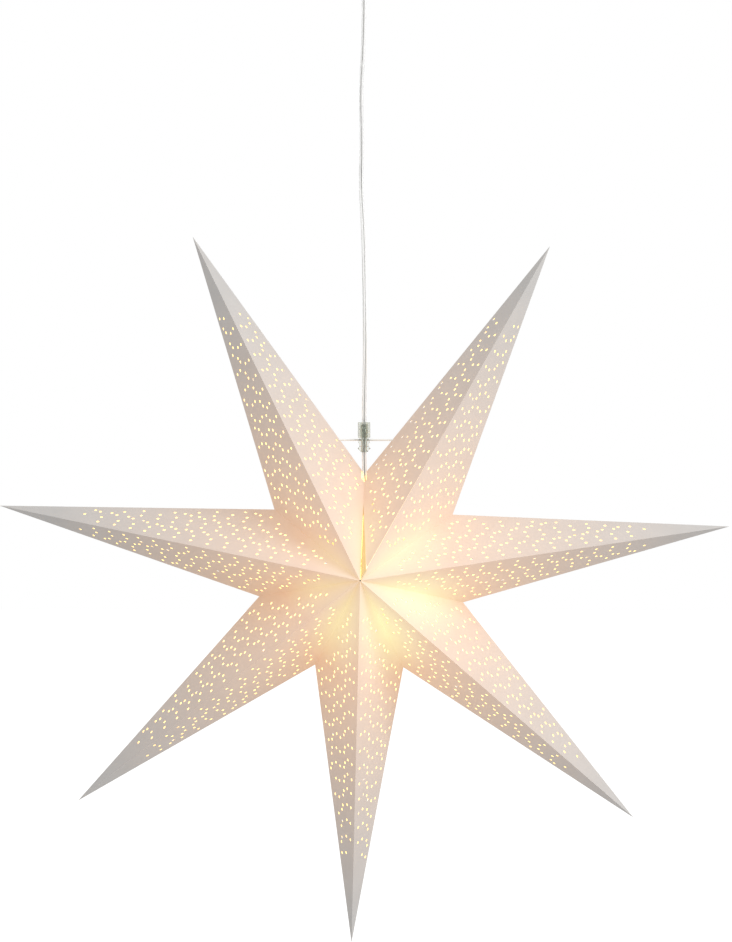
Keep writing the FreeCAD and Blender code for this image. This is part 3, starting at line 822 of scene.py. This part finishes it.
# %% Moulded and extruded plastics
def moulded(name, light_hex, shade_hex, grain, roughness, relief_height, clear=0.0, ior=1.5):
    """Plastic from a mould or die: an even colour, faint mottling and a fine skin."""
    material, tree = start_material(name)
    place = add_node(tree, "ShaderNodeTexCoord").outputs["Object"]
    mottle = add_node(
        tree, "ShaderNodeTexNoise", {"Vector": place, "Scale": 1 / (12 * grain), "Detail": 2.0}
    )
    colour = add_node(
        tree, "ShaderNodeMix",
        {0: mottle.outputs["Fac"], 6: linear(light_hex), 7: linear(shade_hex)}, data_type="RGBA",
    )
    skin_grain = add_node(
        tree, "ShaderNodeTexNoise", {"Vector": place, "Scale": 1 / grain, "Detail": 2.0}
    )
    dull = add_node(
        tree, "ShaderNodeMapRange",
        {
            "Value": skin_grain.outputs["Fac"],
            "To Min": roughness * 0.85, "To Max": roughness * 1.15,
        },
    )
    relief = add_node(
        tree, "ShaderNodeBump",
        {"Height": skin_grain.outputs["Fac"], "Strength": 0.3, "Distance": relief_height},
    )
    shader = add_node(
        tree, "ShaderNodeBsdfPrincipled",
        {
            "Base Color": colour.outputs[2], "Roughness": dull.outputs[0], "IOR": ior,
            "Transmission Weight": clear, "Normal": relief.outputs["Normal"],
        },
    )
    add_node(tree, "ShaderNodeOutputMaterial", {"Surface": shader.outputs[0]})
    return material


white_abs = moulded("moulded_abs_white", "#F3F2EE", "#EBEAE5", 0.0006, 0.38, 0.00003)
gloss_abs = moulded("polished_abs_white", "#F6F5F2", "#EFEEEA", 0.0006, 0.20, 0.00001)
clear_grip = moulded(
    "moulded_polycarbonate_clear", "#EDF0EB", "#E2E6E0", 0.0005, 0.05, 0.00001, 1.0, 1.3
)
flex_pvc = moulded("extruded_pvc_white", "#FCFCFA", "#F6F6F2", 0.0004, 0.30, 0.00002)
flex_skin = moulded(
    "extruded_pvc_painted_shade", "#FEFEFD", "#FAFAF8", 0.0004, 0.30, 0.00002, clear=0.5
)
# The flex's white is mixed towards dark grey along the attribute, as painted shade in the groove
# and on the thin edges.
tree = flex_skin.node_tree
shader = next(node for node in tree.nodes if node.bl_idname == "ShaderNodeBsdfPrincipled")
groove = add_node(tree, "ShaderNodeAttribute", attribute_name="painted_flex_shade")
white = shader.inputs["Base Color"].links[0].from_socket
painted_shade_colour = add_node(
    tree, "ShaderNodeMix", {0: groove.outputs["Fac"], 6: white, 7: linear("#55534F")},
    data_type="RGBA",
)
tree.links.new(painted_shade_colour.outputs[2], shader.inputs["Base Color"])
core_pvc = moulded("extruded_pvc_core", "#F2F1EC", "#E6E5DE", 0.0003, 0.30, 0.00001)
print("plastics made")


# %% Metals
def metal(name, light_hex, shade_hex, grain, roughness):
    """Metal with the grain of its plating or drawing in colour, gloss and relief."""
    material, tree = start_material(name)
    place = add_node(tree, "ShaderNodeTexCoord").outputs["Object"]
    patches = add_node(
        tree, "ShaderNodeTexNoise", {"Vector": place, "Scale": 1 / grain, "Detail": 3.0}
    )
    colour = add_node(
        tree, "ShaderNodeMix",
        {0: patches.outputs["Fac"], 6: linear(light_hex), 7: linear(shade_hex)}, data_type="RGBA",
    )
    dull = add_node(
        tree, "ShaderNodeMapRange",
        {"Value": patches.outputs["Fac"], "To Min": roughness * 0.7, "To Max": roughness * 1.3},
    )
    relief = add_node(
        tree, "ShaderNodeBump",
        {"Height": patches.outputs["Fac"], "Strength": 0.2, "Distance": 0.00003},
    )
    shader = add_node(
        tree, "ShaderNodeBsdfPrincipled",
        {
            "Base Color": colour.outputs[2], "Roughness": dull.outputs[0], "Metallic": 1.0,
            "Normal": relief.outputs["Normal"],
        },
    )
    add_node(tree, "ShaderNodeOutputMaterial", {"Surface": shader.outputs[0]})
    return material


zinc_steel = metal("zinc_plated_steel", "#C9CBCC", "#B4B7B9", 0.002, 0.34)
nickel = metal("nickel_plated_brass", "#CFCBC2", "#BDB8AD", 0.001, 0.22)
brass = metal("turned_brass", "#D8BC7A", "#C4A35E", 0.0008, 0.28)
coated_wire = moulded("powder_coated_wire", "#F7F7F4", "#EFEFEB", 0.0004, 0.42, 0.00002)

# %% The opal globe
OPAL_GLOW = "#FFD9A6"
GLOBE_BRIGHTNESS = 5.0

opal_glass, tree = start_material("blown_opal_glass")
place = add_node(tree, "ShaderNodeTexCoord").outputs["Object"]
milk = add_node(tree, "ShaderNodeTexNoise", {"Vector": place, "Scale": 60.0, "Detail": 2.0})
milky = add_node(
    tree, "ShaderNodeMix",
    {0: milk.outputs["Fac"], 6: linear("#FBF6EC"), 7: linear("#F3ECDF")}, data_type="RGBA",
)
glass = add_node(
    tree, "ShaderNodeBsdfPrincipled",
    {"Base Color": milky.outputs[2], "Roughness": 0.18, "IOR": 1.52},
)
shine = add_node(
    tree, "ShaderNodeEmission", {"Color": linear(OPAL_GLOW), "Strength": GLOBE_BRIGHTNESS}
)
lit_glass = add_node(tree, "ShaderNodeAddShader", {0: glass.outputs[0], 1: shine.outputs[0]})
add_node(tree, "ShaderNodeOutputMaterial", {"Surface": lit_glass.outputs[0]})

# %% [markdown]
# ## Dressing the construction pieces
# A piece of the construction model is dressed by giving its object's material slots the finish.

# %% Which piece has which finish
FINISHES = (
    (white_abs, ("holder_cap", "holder_sleeve", "holder_insert", "terminal_block", "flex_clamp",
                 "cup_collar", "collar_nut", "lock_screw", "bulb_collar")),
    (gloss_abs, ("ceiling_cup",)),
    (clear_grip, ("grip_body", "grip_nut")),
    (coated_wire, ("hanger_rod",)),
    (zinc_steel, ("ceiling_strap", "clamp_screws", "terminal_screws", "holder_grip_screw")),
    (brass, ("terminal_sleeves", "centre_contact", "screw_shell")),
    (nickel, ("bulb_screw_cap",)),
    (flex_pvc, ("ceiling_flex",)),
    (core_pvc, ("flex_cores",)),
    (opal_glass, ("bulb_globe",)),
)

for finish, nodes in FINISHES:
    for name in nodes:
        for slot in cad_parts[name].material_slots:
            slot.material = finish
flex.data.materials.append(flex_skin)
print("dressed", sum(len(nodes) for _, nodes in FINISHES), "construction pieces")

# %% [markdown]
# ## Floor, daylight and lamps
# The picture has a plain white ground. A wide pale floor lies where a room's floor would be and
# keeps the star's shadow. A broad soft lamp stands right of the camera, which makes the right-hand
# side of each upright point the lighter one, and the white surroundings fill the rest.


# %% What a ray sees
def seen_plainly(tree):
    """One for rays from the camera, off a gloss or through clear plastic, nothing for others."""
    rays = add_node(tree, "ShaderNodeLightPath")
    seen = rays.outputs["Is Camera Ray"]
    for kind in ("Is Glossy Ray", "Is Transmission Ray"):
        either = add_node(
            tree, "ShaderNodeMath", {0: seen, 1: rays.outputs[kind]}, operation="MAXIMUM"
        )
        seen = either.outputs[0]
    return seen


# %% The floor
FLOOR_DROP = -2.35
GROUND_LIFT = 0.6

bpy.ops.object.select_all(action="DESELECT")
bpy.ops.mesh.primitive_plane_add(size=24.0, location=(0.0, 0.0, FLOOR_DROP))
floor = bpy.context.object
floor.name = "studio_floor"
floor_paint, tree = start_material("white_studio_floor")
lift = add_node(
    tree, "ShaderNodeMath", {0: seen_plainly(tree), 1: GROUND_LIFT}, operation="MULTIPLY"
)
paint = add_node(tree, "ShaderNodeBsdfDiffuse", {"Color": linear("#E8E8E8")})
white = add_node(
    tree, "ShaderNodeEmission", {"Color": (1.0, 1.0, 1.0, 1.0), "Strength": lift.outputs[0]}
)
ground = add_node(tree, "ShaderNodeAddShader", {0: paint.outputs[0], 1: white.outputs[0]})
add_node(tree, "ShaderNodeOutputMaterial", {"Surface": ground.outputs[0]})
floor.data.materials.append(floor_paint)

# %% The white surroundings
SURROUNDINGS = 0.68

world = bpy.data.worlds.new("white_surroundings")
world.use_nodes = True
world.node_tree.nodes.clear()
tree = world.node_tree
level = add_node(
    tree, "ShaderNodeMapRange",
    {"Value": seen_plainly(tree), "To Min": SURROUNDINGS, "To Max": 1.0},
)
sky = add_node(
    tree, "ShaderNodeBackground", {"Color": (1.0, 1.0, 1.0, 1.0), "Strength": level.outputs[0]}
)
add_node(tree, "ShaderNodeOutputWorld", {"Surface": sky.outputs[0]})
bpy.context.scene.world = world


# %% The lamps
def soft_lamp(name, place, target, size, power):
    """A square soft lamp that faces a target."""
    data = bpy.data.lights.new(name, "AREA")
    data.size = size
    data.energy = power
    lamp = bpy.data.objects.new(name, data)
    lamp.location = place
    lamp.rotation_euler = (Vector(target) - Vector(place)).to_track_quat("-Z", "Y").to_euler()
    bpy.context.scene.collection.objects.link(lamp)
    return lamp


soft_lamp("right_lamp", (2.2, -1.9, 0.7), STAR_MIDDLE, 1.6, 48.0)
soft_lamp("upper_lamp", (-1.3, -2.2, 1.3), STAR_MIDDLE, 1.6, 7.0)
bpy.context.scene.view_settings.view_transform = "Standard"
